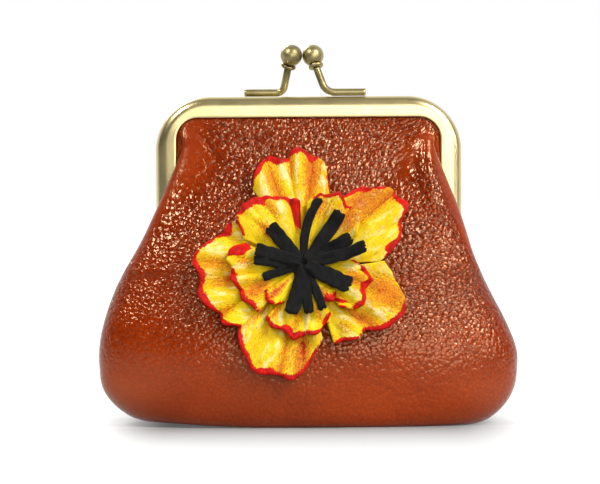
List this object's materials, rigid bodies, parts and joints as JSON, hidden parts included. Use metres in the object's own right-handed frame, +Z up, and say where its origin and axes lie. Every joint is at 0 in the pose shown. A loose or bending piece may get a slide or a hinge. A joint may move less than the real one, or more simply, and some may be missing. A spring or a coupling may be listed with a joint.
{
  "type": "coin purse",
  "caption": "Leather coin purse on a hinged brass kiss-lock frame with ball clasps, with a painted leather flower on its front.",
  "frame": {"origin": "middle of the box around the purse, at the level of the surface it stands on", "axes": "+X to the right of someone facing the flower, +Y away from them, +Z up"},
  "size_m": [0.117, 0.0554, 0.1053],
  "materials": {
    "frame_brass": "satin antique brass, slightly darkened in the corners",
    "knob_brass": "polished antique brass with dark patina in the recesses",
    "leather": "glossy pebble-grained tan leather",
    "lining": "plain woven cotton",
    "paper": "twisted kraft paper cord",
    "petal": "hand-painted leather, red at the edges",
    "suede": "black suede"
  },
  "bodies": {
    "bag": {"front_panel": "leather", "rear_panel": "leather", "front_lining": "lining", "rear_lining": "lining", "flower_backing": "leather", "outer_petal_1": "petal", "outer_petal_2": "petal", "outer_petal_3": "petal", "outer_petal_4": "petal", "outer_petal_5": "petal", "inner_petal_1": "petal", "inner_petal_2": "petal", "inner_petal_3": "petal", "inner_petal_4": "petal", "inner_petal_5": "petal", "small_petal_1": "petal", "small_petal_2": "petal", "stamen_core": "suede", "stamen_1": "suede", "stamen_2": "suede", "stamen_3": "suede", "stamen_4": "suede", "stamen_5": "suede", "stamen_6": "suede", "stamen_7": "suede", "stamen_8": "suede", "stamen_9": "suede", "stamen_10": "suede", "stamen_11": "suede", "stamen_12": "suede"},
    "front_frame": {"front_frame_channel": "frame_brass", "front_hem": "leather", "front_paper_cord": "paper", "front_knob_stem": "knob_brass", "front_knob_collar": "knob_brass", "front_knob_ball": "knob_brass"},
    "rear_frame": {"rear_frame_channel": "frame_brass", "rear_hem": "leather", "rear_paper_cord": "paper", "rear_knob_stem": "knob_brass", "rear_knob_collar": "knob_brass", "rear_knob_ball": "knob_brass", "left_hinge_rivet": "knob_brass", "right_hinge_rivet": "knob_brass"}
  },
  "joints": [
    {"name": "front_frame_hinge", "type": "hinge", "parent": "bag", "child": "front_frame", "pos_m": [0, 0.00373, 0.045], "axis": [1, 0, 0], "range_deg": [0, 40], "deforming": ["front_panel", "front_lining"]},
    {"name": "rear_frame_hinge", "type": "hinge", "parent": "bag", "child": "rear_frame", "pos_m": [0, 0.00373, 0.045], "axis": [-1, 0, 0], "range_deg": [0, 40], "deforming": ["rear_panel", "rear_lining"]}
  ],
  "couplings": [
    {"joint": "rear_frame_hinge", "follows": "front_frame_hinge", "ratio": 1}
  ]
}
